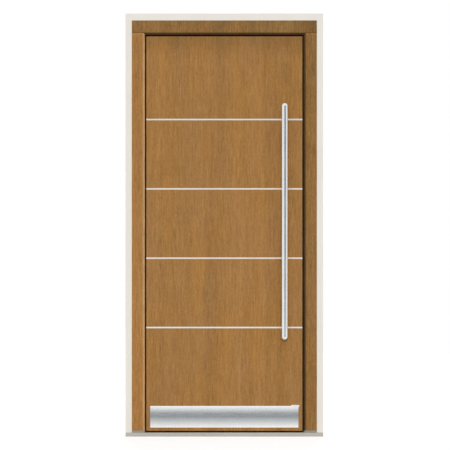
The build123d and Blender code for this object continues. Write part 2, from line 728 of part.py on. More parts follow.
def spigot(z):
    """The end of a post that enters the tube."""
    return along_y(disc(BAR_X, z, BOLT_RADIUS), BAR_Y, BAR_Y + BAR_RADIUS)


def pull_bar():
    tube = bar_solid(BAR_RADIUS) - bar_solid(BAR_RADIUS - BAR_WALL)
    return tube - [spigot(z) for z in POST_HEIGHTS]


def post(z):
    """A round stand-off, hollowed at its end to the shape of the bar."""
    body = along_y(disc(BAR_X, z, POST_RADIUS), BAR_Y, LEAF_FACE_Y)
    saddle = along_z(disc(BAR_X, BAR_Y, BAR_RADIUS), z - 2 * POST_RADIUS, z + 2 * POST_RADIUS)
    return body - saddle + spigot(z) - BAR_BOLTS


# Lock
def faceplate():
    windows = [bolt_window(z, WINDOW_CLEARANCE, FACEPLATE_X, LIP_X) for z in (LEVER_Z, DEADBOLT_Z)]
    hook = hook_window(WINDOW_CLEARANCE, FACEPLATE_X, LIP_X)
    return faceplate_blank() - windows - hook - flipped(hook) - LEAF_SCREWS


def lock_case():
    """A thin steel box, open at the faceplate, with holes for the hub and the cylinder."""
    half = CASE_THICKNESS / 2
    hub = disc(LEVER_X, LEVER_Z, JOURNAL_RADIUS + RUNNING_CLEARANCE)
    holes = [along_y(hole, LOCK_Y - half, LOCK_Y + half) for hole in (hub, cylinder_profile())]
    return case_block() - case_block(CASE_WALL) - holes


def latch_bolt():
    """A head bevelled towards the outside, and a tail with a tab for the hub's cam."""
    nose = LIP_X + LATCH_THROW
    half = BOLT_THICKNESS / 2
    back = nose - LATCH_HEAD_LENGTH
    head_outline = outline(
        (back, LOCK_Y - half),
        (LIP_X, LOCK_Y - half),
        (nose, LOCK_Y + half - LATCH_NOSE),
        (nose, LOCK_Y + half),
        (back, LOCK_Y + half),
    )
    bolt_head = along_z(head_outline, LEVER_Z - BOLT_HEIGHT / 2, LEVER_Z + BOLT_HEIGHT / 2)
    tab_x = LEVER_X - CAM_WIDTH / 2 - WINDOW_CLEARANCE
    top = LEVER_Z + BOLT_HEIGHT / 2
    tail_y = (LOCK_Y + half - TAIL_THICKNESS, LOCK_Y + half)
    tail = block((tab_x - TAIL_TAB, back), tail_y, (top - TAIL_HEIGHT, top))
    tab_y = (LOCK_Y - half, LOCK_Y + half)
    return bolt_head + tail + block((tab_x - TAIL_TAB, tab_x), tab_y, (top - TAIL_HEIGHT, top))


def deadbolt():
    front = LIP_X - DEADBOLT_SETBACK
    return bolt_window(DEADBOLT_Z, 0, front - DEADBOLT_LENGTH, front)


def square(y0, y1):
    """The square of the spindle, on the lever's axis."""
    half = SPINDLE / 2
    return block((LEVER_X - half, LEVER_X + half), (y0, y1), (LEVER_Z - half, LEVER_Z + half))


def hub():
    """The follower: a drum on two journals, with the cam that draws the latch."""
    half = BOLT_THICKNESS / 2
    case_half = CASE_THICKNESS / 2
    drum = along_y(disc(LEVER_X, LEVER_Z, HUB_RADIUS), LOCK_Y - half, LOCK_Y + half)
    journals = along_y(disc(LEVER_X, LEVER_Z, JOURNAL_RADIUS), LOCK_Y - case_half, LOCK_Y + case_half)
    cam = block(
        (LEVER_X - CAM_WIDTH / 2, LEVER_X + CAM_WIDTH / 2),
        (LOCK_Y - half, LOCK_Y - half + CAM_THICKNESS),
        (LEVER_Z, LEVER_Z + CAM_REACH),
    )
    return drum + journals + cam - square(LOCK_Y - case_half, LOCK_Y + case_half)


def hook_case():
    """A small box round the hook bolt, with its pivot pin and a slot for the drive rod."""
    half = CASE_THICKNESS / 2
    pin = along_y(disc(HOOK_X, HOOK_Z, HOOK_PIN_RADIUS), LOCK_Y - half, LOCK_Y + half)
    return hook_case_block() - hook_case_block(CASE_WALL) - rod_slot() + pin


def hook_bolt():
    """A round boss with an arm that points up at rest, and a beak at the end of the arm."""
    arm = Pos(0, HOOK_REACH / 2) * Rectangle(HOOK_ARM, HOOK_REACH)
    angle, far = math.radians(BEAK_ANGLE), 2 * HOOK_REACH
    wedge = outline((0, 0), (far * math.sin(angle), far * math.cos(angle)), (0, far))
    beak = wedge & (Circle(HOOK_REACH) - Circle(HOOK_REACH - BEAK_DEPTH))
    shape = Circle(HOOK_BOSS_RADIUS) + (arm & Circle(HOOK_REACH)) + beak
    shape -= Circle(HOOK_PIN_RADIUS + RUNNING_CLEARANCE)
    half = HOOK_THICKNESS / 2
    return along_y(Pos(HOOK_X, HOOK_Z) * shape, LOCK_Y - half, LOCK_Y + half)


def plug_bore(radius, y0, y1):
    return along_y(disc(LEVER_X, CYLINDER_Z, radius), y0, y1)


def cam_space(clearance):
    half = CYLINDER_CAM / 2 + clearance
    return LOCK_Y - half, LOCK_Y + half


def cylinder_body():
    """A short profile cylinder with a round bore and a gap for its cam."""
    y0, y1 = LOCK_Y - CYLINDER_OUTDOORS, LOCK_Y + CYLINDER_INDOORS
    body = along_y(cylinder_profile(), y0, y1)
    gap = plug_bore(CAM_TOOTH_REACH + 2 * CAM_SIDE_CLEARANCE, *cam_space(CAM_SIDE_CLEARANCE))
    return body - gap - plug_bore(PLUG_RADIUS + RUNNING_CLEARANCE, y0, y1)


def cylinder_cam():
    """A ring on the plug with one tooth, which points down at rest."""
    y = cam_space(0)
    tooth = Pos(LEVER_X, CYLINDER_Z - CAM_TOOTH_REACH / 2) * Rectangle(CAM_TOOTH_WIDTH, CAM_TOOTH_REACH)
    tooth &= disc(LEVER_X, CYLINDER_Z, CAM_TOOTH_REACH)
    return along_y(disc(LEVER_X, CYLINDER_Z, CYLINDER_RADIUS) + tooth, *y) - plug_bore(PLUG_RADIUS, *y)


# Furniture indoors
def rose(z, hole):
    disc_solid = along_y(disc(LEVER_X, z, ROSE_RADIUS), LEAF_BACK_Y, ROSE_Y)
    rim = disc_solid.edges().filter_by(GeomType.CIRCLE).sort_by(Axis.Y)[-1]
    return fillet(rim, ROSE_EDGE) - along_y(hole, LEAF_BACK_Y, ROSE_Y)


def lever_rose():
    return rose(LEVER_Z, disc(LEVER_X, LEVER_Z, LEVER_RADIUS + LEVER_CLEARANCE))


def cylinder_rose():
    return rose(CYLINDER_Z, cylinder_profile())


def lever():
    """A round bar bent once, pointing away from the edge of the door."""
    start = (LEVER_X, LEAF_BACK_Y + WINDOW_CLEARANCE, LEVER_Z)
    elbow = (LEVER_X, LEAF_BACK_Y + LEVER_PROJECTION, LEVER_Z)
    tip = (LEVER_X - LEVER_LENGTH, LEAF_BACK_Y + LEVER_PROJECTION, LEVER_Z)
    path = FilletPolyline(start, elbow, tip, radius=LEVER_BEND)
    bar = sweep(Plane(origin=start, z_dir=(0, 1, 0)) * Circle(LEVER_RADIUS), path=path)
    bar = fillet(bar.edges().filter_by(GeomType.CIRCLE).sort_by(Axis.X)[0], LEVER_END)
    return bar - square(start[1], spindle_end())


def spindle_end():
    return LEAF_BACK_Y + LEVER_PROJECTION - LEVER_BEND


def spindle():
    return square(LOCK_Y - CASE_THICKNESS / 2, spindle_end())


def thumbturn():
    """A disc with an oblong grip, on a round plug that turns in the cylinder."""
    front = LOCK_Y + CYLINDER_INDOORS + WINDOW_CLEARANCE
    plate = plug_bore(TURN_DISC_RADIUS, front, front + TURN_DISC_HEIGHT)
    grip_shape = Pos(LEVER_X, CYLINDER_Z) * SlotOverall(TURN_GRIP_LENGTH, TURN_GRIP_WIDTH, rotation=90)
    grip = along_y(grip_shape, front + TURN_DISC_HEIGHT, front + TURN_DISC_HEIGHT + TURN_GRIP_HEIGHT)
    grip = fillet(grip.faces().sort_by(Axis.Y)[-1].edges(), TURN_EDGE)
    return plate + grip + plug_bore(PLUG_RADIUS, LOCK_Y - CYLINDER_OUTDOORS, front)


def lock_pieces():
    return {
        "lock_faceplate": faceplate(),
        "lock_case": lock_case(),
        **both_heights(hook_case(), "hook_case"),
        **both_heights(hook_bolt(), "hook_bolt"),
        "drive_rod_upper": drive_rod(CASE_TOP),
        "drive_rod_lower": flipped(drive_rod(CASE_BOTTOM_FLIPPED)),
        "latch_bolt": latch_bolt(),
        "deadbolt": deadbolt(),
        "follower_hub": hub(),
        "cylinder_body": cylinder_body(),
        "cylinder_cam": cylinder_cam(),
        "lever_rose": lever_rose(),
        "cylinder_rose": cylinder_rose(),
        "lever": lever(),
        "lever_spindle": spindle(),
        "thumbturn": thumbturn(),
    }


def leaf_pieces():
    stile = plain_stile()
    pieces = {
        "outer_skin": outer_skin(),
        "inner_skin": inner_skin(),
        "leaf_core": core(),
        "stile_hinge_side": laminated(mirrored(stile) - LEAF_SCREWS, LIP_Y),
        "stile_lock_side": laminated(lock_stile(), LIP_Y),
        "rail_top": laminated(top_rail(), LIP_Y),
        "rail_bottom": bottom_rail(),
        "leaf_gasket": gasket(),
        "bottom_seal": bottom_seal(),
        "kick_plate": kick_plate(),
        "pull_bar": pull_bar(),
        "pull_bar_post_lower": post(POST_HEIGHTS[0]),
        "pull_bar_post_upper": post(POST_HEIGHTS[1]),
        "pull_bar_bolts": Part() + BAR_BOLTS,
        "leaf_screws": Part() + LEAF_SCREWS,
    }
    for i, z in enumerate(INLAY_HEIGHTS):
        pieces[f"inlay_{i + 1}"] = inlay(z, INLAY_PROUD)
    return pieces


# Hinges
def knuckle(z0, z1, bore):
    barrel = along_z(disc(HINGE_X, HINGE_Y, KNUCKLE_RADIUS), z0, z1)
    return barrel - along_z(disc(HINGE_X, HINGE_Y, bore), z0, z1)


def hinge_plate(z, side, lug_spans):
    """A screwed plate with a lug at each height that reaches over to the barrel."""
    near = HINGE_X + side * HINGE_PLATE_OFFSET
    far = near + side * HINGE_PLATE_WIDTH
    y = (LEAF_BACK_Y, LEAF_BACK_Y + HINGE_PLATE)
    plate = block(sorted((near, far)), y, (z - HINGE_HEIGHT / 2, z + HINGE_HEIGHT / 2))
    for span in lug_spans:
        reach = HINGE_X + side * HINGE_PIN_RADIUS
        plate += block(sorted((near, reach)), y, span)
    return plate


def hinge(z):
    """The frame half, the leaf half and the pin of one hinge."""
    half, middle = HINGE_HEIGHT / 2, KNUCKLE_MIDDLE / 2
    outer_spans = [(z - half, z - middle - KNUCKLE_GAP), (z + middle + KNUCKLE_GAP, z + half)]
    inner_span = (z - middle, z + middle)
    frame_half = hinge_plate(z, -1, outer_spans)
    for span in outer_spans:
        frame_half += knuckle(*span, HINGE_PIN_RADIUS)
    bore = HINGE_PIN_RADIUS + RUNNING_CLEARANCE
    leaf_half = hinge_plate(z, 1, [inner_span]) + knuckle(*inner_span, bore)
    axis = disc(HINGE_X, HINGE_Y, HINGE_PIN_RADIUS)
    top_disc = disc(HINGE_X, HINGE_Y, HINGE_PIN_HEAD_RADIUS)
    pin = along_z(axis, z - half, z + half) + along_z(top_disc, z + half, z + half + HINGE_PIN_HEAD)
    pin += along_z(top_disc, z - half - HINGE_PIN_HEAD, z - half)
    frame_bore = along_z(axis, z - half, z + half)
    return frame_half - frame_bore - FRAME_SCREWS, leaf_half - LEAF_SCREWS, pin


def hinge_pieces():
    pieces = {}
    for name, z in zip(HINGE_NAMES, HINGE_HEIGHTS):
        frame_half, leaf_half, pin = hinge(z)
        pieces["hinge_frame_half_" + name] = frame_half
        pieces["hinge_leaf_half_" + name] = leaf_half
        pieces["hinge_pin_" + name] = pin
    return pieces


os.makedirs("parts", exist_ok=True)
for node, shape in {**frame_pieces(), **leaf_pieces(), **lock_pieces(), **hinge_pieces()}.items():
    export_step(shape, f"parts/{node}.step")
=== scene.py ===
import json
import math

import bmesh
import bpy
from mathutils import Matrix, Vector


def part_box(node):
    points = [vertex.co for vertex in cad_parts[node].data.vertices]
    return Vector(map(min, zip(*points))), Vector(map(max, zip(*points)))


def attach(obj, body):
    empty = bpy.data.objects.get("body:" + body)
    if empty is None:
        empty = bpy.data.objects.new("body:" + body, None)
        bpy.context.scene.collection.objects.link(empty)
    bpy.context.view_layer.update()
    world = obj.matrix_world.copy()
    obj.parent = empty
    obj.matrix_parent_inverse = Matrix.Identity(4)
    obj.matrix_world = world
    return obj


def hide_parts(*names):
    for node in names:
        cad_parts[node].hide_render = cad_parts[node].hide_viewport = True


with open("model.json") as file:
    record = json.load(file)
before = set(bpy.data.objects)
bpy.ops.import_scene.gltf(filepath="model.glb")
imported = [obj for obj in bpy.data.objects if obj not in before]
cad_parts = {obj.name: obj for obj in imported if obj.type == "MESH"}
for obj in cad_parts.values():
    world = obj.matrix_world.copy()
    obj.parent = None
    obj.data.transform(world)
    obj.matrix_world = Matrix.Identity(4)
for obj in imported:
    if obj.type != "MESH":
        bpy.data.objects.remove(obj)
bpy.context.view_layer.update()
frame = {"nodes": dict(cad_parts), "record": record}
NODES = frame["nodes"]
SLOT_OF = {part["node"]: part["material_slot"] for part in frame["record"]["subparts"]}
BODY_OF = {node: body for body, nodes in frame["record"]["behaviour"]["bodies"].items() for node in nodes}

# Places in metres that several pieces share
FRAME_FRONT_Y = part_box("jamb_left")[0].y
FRAME_SIDE_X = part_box("jamb_right")[1].x
JOINT_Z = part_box("jamb_left")[1].z
LEAF_TOP_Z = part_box("outer_skin")[1].z
REVEAL_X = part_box("jamb_right")[0].x
REVEAL_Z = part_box("head")[0].z
ARRIS_X = REVEAL_X + 0.0105
STOP_Y = -0.002


# Short ways to build node trees
class Nodes:
    """A node tree with short ways to add nodes to it."""

    def __init__(self, tree):
        self.tree = tree

    def add(self, kind, **values):
        node = self.tree.nodes.new(kind)
        for key, value in values.items():
            setattr(node, key, value)
        return node

    def link(self, source, target):
        if isinstance(source, (int, float, tuple)):
            target.default_value = source
        else:
            self.tree.links.new(source, target)

    def math(self, operation, a, b=0.0, clamp=False):
        node = self.add("ShaderNodeMath", operation=operation, use_clamp=clamp)
        self.link(a, node.inputs[0])
        self.link(b, node.inputs[1])
        return node.outputs[0]

    def parts(self, vector):
        """The x, y and z of a vector."""
        split = self.add("ShaderNodeSeparateXYZ")
        self.link(vector, split.inputs[0])
        return split.outputs

    def ramp(self, value, low, high, start=0.0, end=1.0, smooth=True):
        """A number that goes from start to end while value goes from low to high."""
        node = self.add("ShaderNodeMapRange", interpolation_type="SMOOTHSTEP" if smooth else "LINEAR")
        self.link(value, node.inputs["Value"])
        for key, number in (("From Min", low), ("From Max", high), ("To Min", start), ("To Max", end)):
            node.inputs[key].default_value = number
        return node.outputs[0]

    def seen_background(self):
        """1 for the rays that show the background: from the camera, in gloss and through glass."""
        path = self.add("ShaderNodeLightPath").outputs
        seen = self.math("MAXIMUM", path["Is Camera Ray"], path["Is Glossy Ray"])
        return self.math("MAXIMUM", seen, path["Is Transmission Ray"])


class Shader(Nodes):
    """A material with one Principled shader, in the coordinates of the object that it is on."""

    def __init__(self, name):
        self.material = bpy.data.materials.new(name)
        self.material.use_nodes = True
        super().__init__(self.material.node_tree)
        self.bsdf = self.tree.nodes["Principled BSDF"]
        self.place = self.add("ShaderNodeTexCoord").outputs["Object"]

    def noise(self, scale, detail=2.0, roughness=0.5, shift=(0.0, 0.0, 0.0)):
        mapping = self.add("ShaderNodeMapping")
        self.link(self.place, mapping.inputs["Vector"])
        mapping.inputs["Scale"].default_value = scale
        mapping.inputs["Location"].default_value = shift
        node = self.add("ShaderNodeTexNoise")
        self.link(mapping.outputs[0], node.inputs["Vector"])
        node.inputs["Scale"].default_value = 1.0
        node.inputs["Detail"].default_value = detail
        node.inputs["Roughness"].default_value = roughness
        return node.outputs[0]

    def mix(self, factor, a, b, blend="MIX"):
        node = self.add("ShaderNodeMix", data_type="RGBA", blend_type=blend)
        self.link(factor, node.inputs["Factor"])
        self.link(a, node.inputs["A"])
        self.link(b, node.inputs["B"])
        return node.outputs["Result"]

    def toned(self, colour, tone):
        """A colour multiplied by a number."""
        grey = self.add("ShaderNodeCombineColor")
        for socket in grey.inputs:
            self.link(tone, socket)
        return self.mix(1.0, colour, grey.outputs[0], blend="MULTIPLY")

    def gamma(self, colour, power):
        node = self.add("ShaderNodeGamma")
        self.link(colour, node.inputs["Color"])
        node.inputs["Gamma"].default_value = power
        return node.outputs[0]

    def bump(self, height, distance, strength):
        node = self.add("ShaderNodeBump")
        self.link(height, node.inputs["Height"])
        node.inputs["Distance"].default_value = distance
        node.inputs["Strength"].default_value = strength
        self.link(node.outputs[0], self.bsdf.inputs["Normal"])

    def set(self, **values):
        for key, value in values.items():
            self.link(value, self.bsdf.inputs[key.replace("_", " ")])


# Colours
WHITE = (1.0, 1.0, 1.0, 1.0)
PLAIN = (1.0, 1.0, 1.0)
DISPLAY_GAMMA = 2.2


def linear(red, green, blue):
    """A colour given as it is seen, from 0 to 255, as the linear colour that a shader takes."""
    return tuple((level / 255.0) ** DISPLAY_GAMMA for level in (red, green, blue)) + (1.0,)


def times(level):
    """A shade that multiplies all three channels alike."""
    return (level, level, level)


# Nearly all of a noise lies in this span
NOISE_SPAN = (0.3, 0.7)

# Oak. Each noise has its scale across and along the grain, its detail, its roughness and its share of
# the tone
OAK_NOISES = {
    "bands": (17.0, 0.4, 1.5, 0.5, 0.5),
    "patches": (9.0, 2.6, 2.0, 0.5, 0.14),
    "streaks": (150.0, 11.0, 3.0, 0.65, 0.8),
    "fibres": (520.0, 22.0, 2.0, 0.5, 0.7),
    "flecks": (190.0, 90.0, 1.0, 0.5, 0.5),
}
PORE_SCALE = (900.0, 900.0, 42.0)
PORE_SPAN = (0.60, 0.70)
PORE_DARKNESS = 0.22
WARM_SPAN = (0.35, 0.65)
STREAK_HEIGHT = 0.6
GRAIN_HEIGHT = 0.00012
GRAIN_STRENGTH = 0.6
GRAIN_SPAN = (0.2, 1.1)
OAK_ROUGHNESS = (0.66, 0.52)


def oak(name, seen, shift=(0.0, 0.0, 0.0), shades=(), contrast=1.0):
    """Oiled oak with upright grain, between two seen colours. Each shade (axis, low, high, start, end)
    multiplies the colour by one that goes from start to end along an axis."""
    s = Shader(name)
    noises = {
        kind: s.noise((across, across, along), detail, roughness, shift)
        for kind, (across, along, detail, roughness, share) in OAK_NOISES.items()
    }
    pores = s.ramp(s.noise(PORE_SCALE, detail=1.0, shift=shift), *PORE_SPAN)
    tone = 1.0
    for kind, noise in noises.items():
        share = OAK_NOISES[kind][-1] * contrast
        tone = s.math("ADD", s.math("MULTIPLY", s.math("SUBTRACT", noise, 0.5), share), tone)
    tone = s.math("SUBTRACT", tone, s.math("MULTIPLY", pores, PORE_DARKNESS))
    warm = s.mix(s.ramp(noises["patches"], *WARM_SPAN), linear(*seen[0]), linear(*seen[1]))
    colour = s.toned(warm, tone)
    for axis, low, high, start, end in shades:
        shade = s.mix(s.ramp(s.parts(s.place)[axis], low, high), start + (1.0,), end + (1.0,))
        colour = s.mix(1.0, colour, shade, blend="MULTIPLY")
    raised = s.math("ADD", noises["fibres"], s.math("MULTIPLY", noises["streaks"], STREAK_HEIGHT))
    grain = s.math("SUBTRACT", raised, pores)
    s.bump(grain, GRAIN_HEIGHT, GRAIN_STRENGTH)
    rough = s.ramp(grain, *GRAIN_SPAN, *OAK_ROUGHNESS)
    s.set(Base_Color=colour, Roughness=rough, Specular_IOR_Level=0.2)
    return s.material


# Brushed metal: how fine its strokes are across and along, and how much a broad cloud varies it
STROKE_ACROSS = 1400.0
STROKE_ALONG = 12.0
STROKE_HEIGHT = 0.00003
STROKE_STRENGTH = 0.35
STROKE_ROUGHNESS = (-0.05, 0.07)
METAL_CLOUD = (14.0, 14.0, 14.0)
METAL_CLOUD_AMOUNT = 0.02


def brushed(name, seen, along="z", roughness=0.3, stroke=0.05, painted_reflection=None):
    """Brushed metal with fine strokes along one axis. A painted reflection (height, half width, colour)
    paints it darker, down to that colour, at one height: the dark band that a bowed sheet would reflect.
    The metal is then smooth, so that the painted gradient stays even."""
    s = Shader(name)
    strokes = s.noise(tuple(STROKE_ALONG if axis == along else STROKE_ACROSS for axis in "xyz"))
    cloud = s.ramp(s.noise(METAL_CLOUD), *NOISE_SPAN, -METAL_CLOUD_AMOUNT, METAL_CLOUD_AMOUNT)
    tone = s.math("ADD", s.ramp(strokes, *NOISE_SPAN, 1.0 - stroke, 1.0 + stroke), cloud)
    colour = s.toned(linear(*seen), tone)
    if painted_reflection:
        # painted reflection: the colour is painted darker towards one height
        height, half_width, darkest = painted_reflection
        away = s.math("ABSOLUTE", s.math("SUBTRACT", s.parts(s.place)["Z"], height))
        bright = s.mix(s.ramp(away, 0.0, half_width, smooth=False), darkest + (1.0,), WHITE)
        colour = s.mix(1.0, colour, s.gamma(bright, DISPLAY_GAMMA), blend="MULTIPLY")
    else:
        s.bump(strokes, STROKE_HEIGHT, STROKE_STRENGTH)
    rough = s.ramp(strokes, *NOISE_SPAN, *(roughness + change for change in STROKE_ROUGHNESS))
    s.set(Base_Color=colour, Metallic=1.0, Roughness=rough)
    return s.material


# Coats: a fine grain and a broad cloud
COAT_CLOUD = (11.0, 11.0, 5.0)
COAT_CLOUD_AMOUNT = 0.015
COAT_STRENGTH = 0.5
COAT_ROUGHNESS = 0.06


def coated(name, seen, roughness=0.5, speckle=0.02, grain=420.0, depth=0.00006):
    """Paint, plastic or rubber: a faint mottle with a fine orange-peel surface."""
    s = Shader(name)
    fine = s.noise((grain, grain, grain))
    cloud = s.noise(COAT_CLOUD, detail=3.0)
    mottle = s.ramp(cloud, *NOISE_SPAN, -COAT_CLOUD_AMOUNT, COAT_CLOUD_AMOUNT)
    tone = s.math("ADD", s.ramp(fine, *NOISE_SPAN, 1.0 - speckle, 1.0 + speckle), mottle)
    s.bump(fine, depth, COAT_STRENGTH)
    rough = s.ramp(cloud, *NOISE_SPAN, roughness - COAT_ROUGHNESS, roughness + COAT_ROUGHNESS)
    s.set(Base_Color=s.toned(linear(*seen), tone), Roughness=rough, Specular_IOR_Level=0.35)
    return s.material


# Painted reflection: the bowed kick plate is painted darker evenly from both long edges of the sheet,
# without its lug, to the middle, as the dark band that it would reflect
LUG_HEIGHT = 0.005
KICK_LOW_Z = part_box("kick_plate")[0].z
KICK_TOP_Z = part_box("kick_plate")[1].z - LUG_HEIGHT
KICK_MIDDLE_Z = (KICK_LOW_Z + KICK_TOP_Z) / 2
KICK_PAINTED_REFLECTION = (KICK_MIDDLE_Z, KICK_TOP_Z - KICK_MIDDLE_Z, (0.63, 0.655, 0.67))

# Painted shade and light on the wood: the leaf is painted darker under the head, where the head's shadow
# falls
LEAF_TOP_SHADE = ("Z", LEAF_TOP_Z - 0.125, LEAF_TOP_Z - 0.005, PLAIN, times(0.8))
# The top of each jamb: a painted highlight line, then a dark joint under the head
JOINT_AND_HIGHLIGHT = [
    ("Z", JOINT_Z - 0.014, JOINT_Z - 0.007, PLAIN, times(1.12)),
    ("Z", JOINT_Z - 0.005, JOINT_Z - 0.001, PLAIN, times(0.5)),
]
# The chamfers round the opening: a painted highlight on the left chamfer, which light from the right falls
# on, and painted shade on the right chamfer and under the head. In each list the second shade undoes the
# first where the chamfer ends, so that the reveal behind keeps its colour
ARRIS_HIGHLIGHT = (1.3, 1.6, 2.55)
UNDONE_HIGHLIGHT = tuple(1.0 / level for level in ARRIS_HIGHLIGHT)
ARRIS_SHADE = 0.2
UNDONE_SHADE = 4.2
CHAMFER_ENDS = (0.0004, 0.0012)
LEFT_ARRIS_HIGHLIGHT = [
    ("X", -ARRIS_X - 0.002, -ARRIS_X + 0.001, PLAIN, ARRIS_HIGHLIGHT),
    ("X", -REVEAL_X - CHAMFER_ENDS[1], -REVEAL_X - CHAMFER_ENDS[0], PLAIN, UNDONE_HIGHLIGHT),
]
RIGHT_ARRIS_SHADE = [
    ("X", ARRIS_X - 0.008, ARRIS_X + 0.006, times(ARRIS_SHADE), PLAIN),
    ("X", REVEAL_X + CHAMFER_ENDS[0], REVEAL_X + CHAMFER_ENDS[1], times(UNDONE_SHADE), PLAIN),
]
HEAD_ARRIS_SHADE = [
    ("Z", JOINT_Z - 0.008, JOINT_Z + 0.005, times(ARRIS_SHADE), PLAIN),
    ("Z", REVEAL_Z + CHAMFER_ENDS[0], REVEAL_Z + CHAMFER_ENDS[1], times(UNDONE_SHADE), PLAIN),
]
# The right end of the head is darker
HEAD_END_SHADE = ("X", 0.33, FRAME_SIDE_X, PLAIN, times(0.8))


def upright(at_foot, at_top):
    """A painted shade that changes slowly from the foot of the frame to its top, as the light falls on the
    jambs.
    """
    return ("Z", 0.0, 2.1, times(at_foot), times(at_top))


# Copies of one oak: the left jamb's copy is painted a little lighter and the right jamb's and the head's
# copies darker, as painted light and shade
OAKS = {
    "oak": dict(seen=((161, 115, 64), (158, 116, 69))),
    # the leaf's copy of the oak carries the painted shade under the head
    "oak_leaf": dict(seen=((159, 115, 64), (155, 114, 69)), shades=[LEAF_TOP_SHADE], contrast=0.88),
    "oak_left": dict(
        seen=((165, 117, 65), (162, 118, 69)),
        shift=(3.1, 1.2, 0.4),
        shades=[upright(1.04, 0.93), *LEFT_ARRIS_HIGHLIGHT, *JOINT_AND_HIGHLIGHT],
        contrast=0.95,
    ),
    "oak_right": dict(
        seen=((141, 103, 58), (138, 103, 61)),
        shift=(5.7, 2.3, 0.9),
        shades=[upright(0.97, 0.96), *RIGHT_ARRIS_SHADE, *JOINT_AND_HIGHLIGHT],
        contrast=1.3,
    ),
    "oak_head": dict(
        seen=((137, 100, 57), (134, 101, 60)),
        shift=(9.2, 4.1, 0.2),
        shades=[HEAD_END_SHADE, *HEAD_ARRIS_SHADE],
        contrast=1.25,
    ),
}
METALS = {
    "sill_aluminium": dict(seen=(197, 192, 183), along="x", roughness=0.42, stroke=0.03),
    "brushed_stainless": dict(seen=(228, 229, 228), roughness=0.16),
    "inlay_stainless": dict(seen=(248, 240, 230), along="x", roughness=0.4, stroke=0.03),
    # the kick plate's colour carries a painted reflection, darker along its middle
    "kick_stainless": dict(seen=(252, 252, 252), along="x", roughness=0.24, stroke=0.012, painted_reflection=KICK_PAINTED_REFLECTION),
    "hinge_steel": dict(seen=(196, 197, 197)),
    "zinc_steel": dict(seen=(164, 171, 180), roughness=0.38, stroke=0.08),
    "hard_steel": dict(seen=(206, 206, 208), along="x", roughness=0.25),
    "nickel_brass": dict(seen=(216, 208, 190), along="y"),
}
COATS = {
    "core_board": dict(seen=(176, 150, 112), roughness=0.85, speckle=0.12, grain=260.0, depth=0.0002),
    "off_white_paint": dict(seen=(232, 227, 217), roughness=0.42, speckle=0.006),
    "foot_composite": dict(seen=(146, 144, 138), roughness=0.7, speckle=0.05),
    "sill_composite": dict(seen=(52, 52, 52), roughness=0.75, speckle=0.08),
    "socket_shadow": dict(seen=(46, 47, 50), roughness=0.7, speckle=0.06),
    "black_rubber": dict(seen=(30, 30, 31), roughness=0.65, speckle=0.1),
}
MATERIALS = {
    name: make(name, **values)
    for make, kinds in ((oak, OAKS), (brushed, METALS), (coated, COATS))
    for name, values in kinds.items()
}

# Nodes whose look isn't the one named after their slot
INLAYS = [f"inlay_{n}" for n in (1, 2, 3, 4)]
LOOK_OF = {
    "jamb_left": "oak_left",
    "outer_skin": "oak_leaf",
    "jamb_right": "oak_right",
    "head": "oak_head",
    "kick_plate": "kick_stainless",
    **{name: "inlay_stainless" for name in INLAYS},
}


def dress(obj, node):
    obj.data.materials.clear()
    obj.data.materials.append(MATERIALS[LOOK_OF.get(node, SLOT_OF[node])])


for name, obj in NODES.items():
    dress(obj, name)


def piece(name, mesh, node):
    """A new visible piece on the body of a CAD node."""
    obj = bpy.data.objects.new(name, mesh)
    bpy.context.scene.collection.objects.link(obj)
    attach(obj, BODY_OF[node])
    return obj


# Rounded copies of the rigid pieces
FLAT_ANGLE = math.radians(0.4)
ROUND_ABOVE = math.radians(32)
SMOOTH_BELOW = math.radians(46)
SAME_PLACE = 2e-6
NO_LENGTH = 1e-6
IN_PLANE = 1e-5


def boards(mesh, split_y):
    """The triangles of a node, as one list a glued board. A face in the glue plane belongs to the side
    that it closes."""
    groups = {}
    for face in mesh.polygons:
        y = sum(mesh.vertices[v].co.y for v in face.vertices) / len(face.vertices)
        in_plane = split_y is not None and abs(y - split_y) < IN_PLANE
        side = (face.normal.y < 0) if in_plane else (split_y is not None and y > split_y)
        groups.setdefault(side, []).append([mesh.vertices[v].co.copy() for v in face.vertices])
    return groups.values()


def rounded_board(triangles, width, shortest):
    """One board as a mesh with its long, sharp, outward edges rounded."""
    board = bmesh.new()
    for corners in triangles:
        board.faces.new([board.verts.new(co) for co in corners])
    bmesh.ops.remove_doubles(board, verts=board.verts, dist=SAME_PLACE)
    bmesh.ops.dissolve_degenerate(board, edges=board.edges, dist=NO_LENGTH)
    bmesh.ops.dissolve_limit(board, angle_limit=FLAT_ANGLE, verts=board.verts, edges=board.edges)
    edges = [
        e for e in board.edges
        if len(e.link_faces) == 2 and e.calc_face_angle(0) > ROUND_ABOVE
        and e.calc_length() > shortest and e.is_convex
    ]
    bmesh.ops.bevel(
        board, geom=edges, offset=width, offset_type="OFFSET", segments=2, profile=0.5,
        affect="EDGES", clamp_overlap=False, loop_slide=True,
    )
    mesh = bpy.data.meshes.new("board")
    board.to_mesh(mesh)
    board.free()
    return mesh


def softened(node, width, shortest, split_y=None):
    """A copy of a CAD node with its long sharp edges rounded, which replaces the node."""
    whole = bmesh.new()
    for triangles in boards(NODES[node].data, split_y):
        board = rounded_board(triangles, width, shortest)
        whole.from_mesh(board)
        bpy.data.meshes.remove(board)
    bmesh.ops.recalc_face_normals(whole, faces=whole.faces)
    for face in whole.faces:
        face.smooth = True
    for edge in whole.edges:
        edge.smooth = len(edge.link_faces) == 2 and edge.calc_face_angle(0) < SMOOTH_BELOW
    mesh = bpy.data.meshes.new(node + "_rounded")
    whole.to_mesh(mesh)
    whole.free()
    obj = piece(node + "_rounded", mesh, node)
    weighted = obj.modifiers.new("normals", "WEIGHTED_NORMAL")
    weighted.keep_sharp = True
    dress(obj, node)
    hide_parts(node)
    return obj


